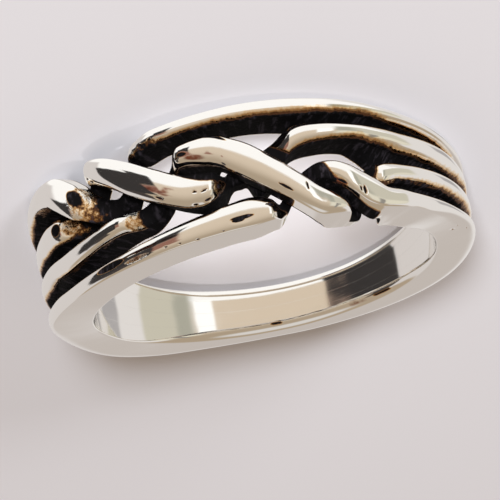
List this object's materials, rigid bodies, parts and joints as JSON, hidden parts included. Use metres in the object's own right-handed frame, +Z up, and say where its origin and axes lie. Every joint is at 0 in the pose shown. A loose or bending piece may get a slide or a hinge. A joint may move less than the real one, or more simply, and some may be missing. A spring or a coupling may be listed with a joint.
{
  "type": "puzzle ring",
  "caption": "Finger ring of slim closed bands that lie side by side in the shank and interlace into an open woven braid on top",
  "frame": {"origin": "middle of the underside, on the surface that the ring lies on", "axes": "+Z up; the ring lies on its rear side with the hole's axis a few degrees off +Z; the middle of the braid faces -Y"},
  "size_m": [0.0228, 0.0226, 0.0071],
  "materials": {
    "silver": "polished silver, blackened in the grooves and on the side walls of the strands"
  },
  "bodies": {
    "root": {"rear_band": "silver", "rear_middle_band": "silver", "front_middle_band": "silver", "front_band": "silver"}
  },
  "joints": []
}
